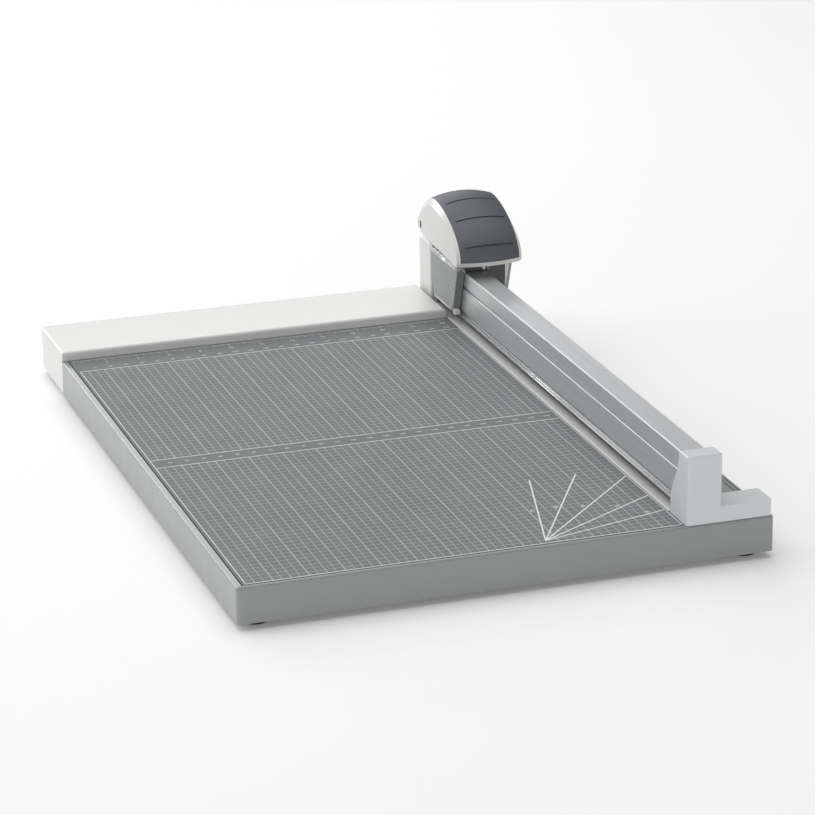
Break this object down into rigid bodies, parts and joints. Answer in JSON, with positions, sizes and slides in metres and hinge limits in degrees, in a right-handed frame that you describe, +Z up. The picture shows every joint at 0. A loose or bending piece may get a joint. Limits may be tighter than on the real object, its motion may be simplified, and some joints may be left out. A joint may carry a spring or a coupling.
{
  "type": "rotary paper trimmer",
  "caption": "Rotary paper trimmer: gridded flat bed with a rear paper stop, and a round blade in a guarded head that slides along an aluminium rail over a clamp strip.",
  "frame": {"origin": "centre of the footprint, on the surface that the feet stand on", "axes": "+X right along the front edge, +Y towards the paper stop at the back, +Z up"},
  "size_m": [0.305, 0.452, 0.1031],
  "materials": {
    "tray_paint": "grey satin enamel",
    "plate_plastic": "fine texture",
    "screw_steel": "zinc plated",
    "foot_rubber": "matt",
    "pad_rubber": "matt",
    "mat_print": "printed, matt",
    "strip_plastic": "matt",
    "white_plastic": "semi-gloss",
    "block_plastic": "satin",
    "rail_aluminium": "satin anodised",
    "clamp_aluminium": "satin",
    "support_plastic": "matt",
    "dark_plastic": "fine texture",
    "cover_plastic": "fine texture",
    "roller_acetal": "smooth",
    "spring_steel": "drawn wire",
    "blade_steel": "ground",
    "arm_steel": "pressed sheet",
    "guard_clear": "smoked, translucent",
    "offcut_clear": "clear"
  },
  "bodies": {
    "base": {"base_tray": "tray_paint", "bottom_plate": "plate_plastic", "bottom_screws": "screw_steel", "foot_front_left": "foot_rubber", "foot_front_right": "foot_rubber", "foot_rear_left": "foot_rubber", "foot_rear_right": "foot_rubber", "cutting_mat": "mat_print", "cutting_strip": "strip_plastic", "front_block": "block_plastic", "rear_block": "white_plastic", "back_stop": "white_plastic", "stop_screws": "screw_steel", "block_screws": "screw_steel", "rail": "rail_aluminium", "rail_support_front": "support_plastic", "rail_support_rear": "support_plastic", "rail_screws": "screw_steel", "clamp_spring_front": "spring_steel", "clamp_spring_rear": "spring_steel"},
    "clamp": {"clamp_strip": "clamp_aluminium", "clamp_pad": "pad_rubber"},
    "carriage": {"carriage": "dark_plastic", "roller_axles": "screw_steel", "press_spring_front": "spring_steel", "press_spring_rear": "spring_steel", "post_screws": "screw_steel"},
    "roller_front": {"roller_front": "roller_acetal"},
    "roller_rear": {"roller_rear": "roller_acetal"},
    "head": {"top_cover": "cover_plastic", "left_shell": "white_plastic", "right_shell": "white_plastic", "shell_screws": "screw_steel", "head_frame": "support_plastic", "presser_foot": "support_plastic", "blade_arm": "arm_steel", "arm_screws": "screw_steel", "blade_axle": "screw_steel", "blade_guard": "guard_clear", "offcut_guard": "offcut_clear", "guard_toe": "white_plastic"},
    "blade": {"blade_disc": "blade_steel", "blade_hub": "dark_plastic"}
  },
  "joints": [
    {"name": "carriage_slide", "type": "slide", "parent": "base", "child": "carriage", "axis": [0, 1, 0], "range_m": [-0.345, 0]},
    {"name": "head_press", "type": "slide", "parent": "carriage", "child": "head", "axis": [0, 0, 1], "range_m": [-0.0039, 0], "stiffness_N_per_m": 900, "springref_m": 0.005, "deforming": ["press_spring_front", "press_spring_rear"]},
    {"name": "clamp_press", "type": "slide", "parent": "base", "child": "clamp", "axis": [0, 0, 1], "range_m": [-0.0039, 0], "stiffness_N_per_m": 700, "springref_m": 0.006, "deforming": ["clamp_spring_front", "clamp_spring_rear"]},
    {"name": "blade_spin", "type": "hinge", "parent": "head", "child": "blade", "pos_m": [0.10285, 0.173, 0.0426], "axis": [1, 0, 0], "continuous": true},
    {"name": "roller_front_spin", "type": "hinge", "parent": "carriage", "child": "roller_front", "pos_m": [0.11285, 0.164, 0.06445], "axis": [1, 0, 0], "continuous": true},
    {"name": "roller_rear_spin", "type": "hinge", "parent": "carriage", "child": "roller_rear", "pos_m": [0.11285, 0.186, 0.06445], "axis": [1, 0, 0], "continuous": true}
  ],
  "couplings": [
    {"joint": "clamp_press", "follows": "head_press", "ratio": 1},
    {"joint": "roller_front_spin", "follows": "carriage_slide", "rad_per_m": -222.22},
    {"joint": "roller_rear_spin", "follows": "carriage_slide", "rad_per_m": -222.22}
  ]
}
